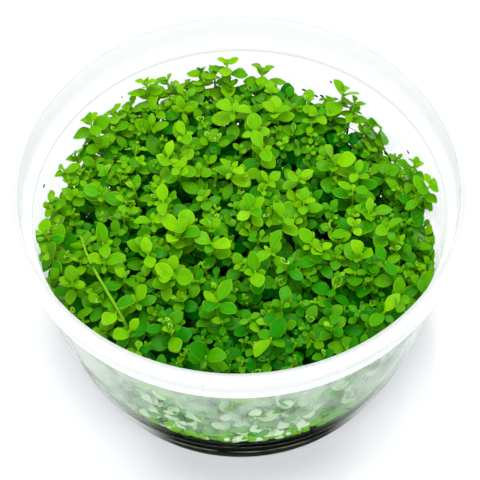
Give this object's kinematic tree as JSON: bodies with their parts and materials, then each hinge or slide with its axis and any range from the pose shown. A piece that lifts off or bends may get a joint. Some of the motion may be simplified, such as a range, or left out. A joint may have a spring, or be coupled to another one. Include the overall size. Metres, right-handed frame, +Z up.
{
  "type": "monte carlo carpet plant in a tissue-culture cup",
  "caption": "Low carpeting aquarium plant with small round leaves in crossed pairs, growing densely on dark gel in a round clear plastic cup with a flanged rim.",
  "frame": {"origin": "centre of the cup's flat underside, on the surface it stands on", "axes": "+Z up along the cup's axis, through its open mouth; X and Y are level, and the picture looks along +Y and down"},
  "size_m": [0.1, 0.1, 0.056],
  "materials": {
    "clear_plastic": "translucent, slightly frosted moulded plastic",
    "dark_gel": "wet, smooth, nearly black culture gel",
    "leaf": "fresh green leaf, slightly glossy"
  },
  "bodies": {
    "root": {"cup": "clear_plastic", "gel": "dark_gel", "plantlet_01": "leaf", "plantlet_02": "leaf", "plantlet_03": "leaf", "plantlet_04": "leaf", "plantlet_05": "leaf", "plantlet_06": "leaf", "plantlet_07": "leaf", "plantlet_08": "leaf", "plantlet_09": "leaf", "plantlet_10": "leaf", "plantlet_11": "leaf", "plantlet_12": "leaf", "plantlet_13": "leaf", "plantlet_14": "leaf", "plantlet_15": "leaf", "plantlet_16": "leaf", "plantlet_17": "leaf", "plantlet_18": "leaf", "plantlet_19": "leaf", "plantlet_20": "leaf", "plantlet_21": "leaf", "plantlet_22": "leaf", "plantlet_23": "leaf", "plantlet_24": "leaf", "plantlet_25": "leaf", "plantlet_26": "leaf", "plantlet_27": "leaf", "plantlet_28": "leaf", "plantlet_29": "leaf", "plantlet_30": "leaf", "plantlet_31": "leaf", "plantlet_32": "leaf", "plantlet_33": "leaf", "plantlet_34": "leaf", "plantlet_35": "leaf", "plantlet_36": "leaf", "plantlet_37": "leaf"}
  },
  "joints": []
}
